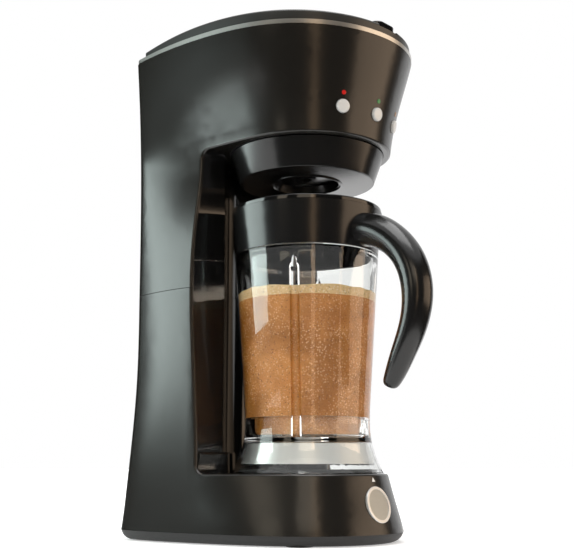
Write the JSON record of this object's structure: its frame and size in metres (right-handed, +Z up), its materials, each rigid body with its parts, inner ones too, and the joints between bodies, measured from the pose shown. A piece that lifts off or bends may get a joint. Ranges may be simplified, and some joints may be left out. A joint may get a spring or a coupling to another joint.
{
  "type": "frappe maker",
  "caption": "Drip coffee maker over a blender jar: hinged water lid, twist-out basket, press buttons, lift-off handled jar with spinning blades.",
  "frame": {"origin": "centre of the bounding box at the bottom of the feet", "axes": "+Z up, -Y to the front where the jar's handle points, +X to the right seen from the front"},
  "size_m": [0.1702, 0.2226, 0.3726],
  "materials": {
    "housing": "satin gloss, dark charcoal",
    "liner": "high gloss, black",
    "under_cover": "matte, black",
    "soft_black": "matte",
    "screw_steel": "zinc bright",
    "silver_trim": "satin silver",
    "lid": "satin gloss, graphite",
    "tank": "smoked, smooth",
    "hose": "translucent, soft",
    "white_plastic": "matte, white",
    "heater": "cast and brushed",
    "inner_black": "matte, black",
    "basket": "high gloss, black",
    "filter_frame": "satin, black",
    "mesh": "fine woven",
    "buttons": "satin silver",
    "lights": "clear tinted",
    "jar_clear": "clear, polished",
    "jar_black": "high gloss, black",
    "blade_base": "satin silver",
    "nut": "satin grey",
    "bronze": "sintered",
    "blade_steel": "ground",
    "coupling": "matte, black",
    "motor_steel": "zinc plated",
    "magnet": "sintered, grey",
    "armature": "varnished",
    "board": "green, satin",
    "wires": "satin",
    "badge_ring": "satin silver",
    "badge_disc": "gloss, plain"
  },
  "bodies": {
    "housing": {"base_shell": "housing", "upper_shell": "housing", "liner_lower": "liner", "liner_upper": "liner", "bottom_cover": "under_cover", "rubber_feet": "soft_black", "cover_screws": "screw_steel", "top_trim": "silver_trim", "lid_hinge_pins": "screw_steel", "water_tank": "tank", "feed_hose": "hose", "check_valve": "white_plastic", "flow_heater": "heater", "thermostat": "heater", "riser_hose": "hose", "shower_head": "inner_black", "basket_ring": "inner_black", "switch_bracket": "inner_black", "tact_switches": "white_plastic", "light_pipes": "lights", "jar_seat_ring": "soft_black", "spindle_seal": "soft_black", "motor_can": "motor_steel", "motor_magnets": "magnet", "motor_plate": "motor_steel", "motor_bushes": "bronze", "motor_isolators": "soft_black", "motor_screws": "screw_steel", "control_board": "board", "wire_loom": "wires", "cord_grommet": "soft_black", "badge_ring": "badge_ring", "badge_disc": "badge_disc"},
    "reservoir_cover": {"reservoir_lid": "lid", "lift_tab": "liner"},
    "basket": {"brew_basket": "basket", "filter_frame": "filter_frame", "filter_mesh": "mesh"},
    "jar_body": {"jar": "jar_clear", "jar_collar": "jar_black", "handle_grip": "jar_black", "handle_cover": "jar_black", "blade_base": "blade_base", "floor_gasket": "soft_black", "floor_nut": "nut", "shaft_bush": "bronze", "shaft_seal": "soft_black"},
    "jar_cap": {"jar_lid": "jar_black", "lid_gasket": "soft_black"},
    "blades": {"blade_cross": "blade_steel", "cap_nut": "blade_steel", "blade_shaft": "blade_steel", "driven_coupling": "coupling"},
    "rotor": {"motor_rotor": "armature", "motor_shaft": "blade_steel", "cooling_fan": "inner_black", "drive_coupling": "coupling"},
    "power_key": {"power_button": "buttons"},
    "brew_key": {"brew_button": "buttons"},
    "blend_key": {"blend_button": "buttons"}
  },
  "joints": [
    {"name": "reservoir_lid_hinge", "type": "hinge", "parent": "housing", "child": "reservoir_cover", "pos_m": [0, 0.10223, 0.36887], "axis": [-1, 0, 0], "range_deg": [0, 95]},
    {"name": "basket_turn", "type": "hinge", "parent": "housing", "child": "basket", "pos_m": [0, -0.00374, 0.281], "axis": [0, 0, 1], "range_deg": [0, 50]},
    {"name": "jar_lift", "type": "slide", "parent": "housing", "child": "jar_body", "axis": [0, 0, 1], "range_m": [0, 0.016]},
    {"name": "jar_lid_turn", "type": "hinge", "parent": "jar_body", "child": "jar_cap", "pos_m": [0, -0.00374, 0.236], "axis": [0, 0, 1], "range_deg": [0, 90]},
    {"name": "motor_spin", "type": "hinge", "parent": "housing", "child": "rotor", "pos_m": [0, -0.00374, 0.03], "axis": [0, 0, 1], "continuous": true},
    {"name": "blade_spin", "type": "hinge", "parent": "jar_body", "child": "blades", "pos_m": [0, -0.00374, 0.07], "axis": [0, 0, 1], "continuous": true},
    {"name": "power_press", "type": "slide", "parent": "housing", "child": "power_key", "axis": [0.4432, 0.8699, 0.2164], "range_m": [0, 0.0016], "stiffness_N_per_m": 300, "springref_m": -0.001},
    {"name": "brew_press", "type": "slide", "parent": "housing", "child": "brew_key", "axis": [0, 0.9763, 0.2164], "range_m": [0, 0.0016], "stiffness_N_per_m": 300, "springref_m": -0.001},
    {"name": "blend_press", "type": "slide", "parent": "housing", "child": "blend_key", "axis": [-0.4432, 0.8699, 0.2164], "range_m": [0, 0.0016], "stiffness_N_per_m": 300, "springref_m": -0.001}
  ],
  "couplings": [
    {"joint": "blade_spin", "follows": "motor_spin", "ratio": 1}
  ]
}
